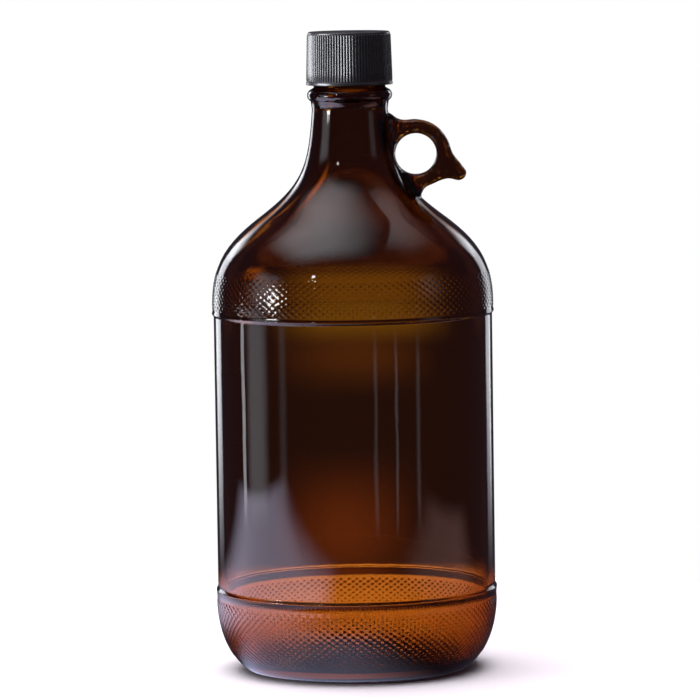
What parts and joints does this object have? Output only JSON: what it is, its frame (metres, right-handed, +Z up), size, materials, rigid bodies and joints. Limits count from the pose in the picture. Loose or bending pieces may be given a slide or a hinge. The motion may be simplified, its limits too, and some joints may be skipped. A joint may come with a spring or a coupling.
{
  "type": "growler",
  "caption": "Amber glass growler with a finger ring and thumb spur on its neck, knurled shoulder and heel bands, and a ribbed screw cap over a cone liner.",
  "frame": {"origin": "on the jug's axis, in the plane of the surface it stands on", "axes": "+Z up the jug's axis; +X towards the finger ring and its spur; the ring lies in the XZ plane"},
  "size_m": [0.129, 0.129, 0.2923],
  "materials": {
    "amber_glass": "clear amber-brown soda-lime container glass, smooth and glossy, with knurled bands on the shoulder and heel",
    "liner_plastic": "soft off-white polyethylene, satin",
    "cap_plastic": "black moulded plastic, satin, finely ribbed skirt"
  },
  "bodies": {
    "jug": {"jug": "amber_glass"},
    "liner": {"cone_liner": "liner_plastic"},
    "cap": {"screw_cap": "cap_plastic"}
  },
  "joints": [
    {"name": "cap_lift", "type": "slide", "parent": "jug", "child": "liner", "axis": [0, 0, 1], "range_m": [0, 0.0254]},
    {"name": "cap_turn", "type": "hinge", "parent": "liner", "child": "cap", "pos_m": [0, 0, 0.26815], "axis": [0, 0, 1], "range_deg": [0, 2160]}
  ],
  "couplings": [
    {"joint": "cap_lift", "follows": "cap_turn", "m_per_rad": 0.00067375}
  ]
}
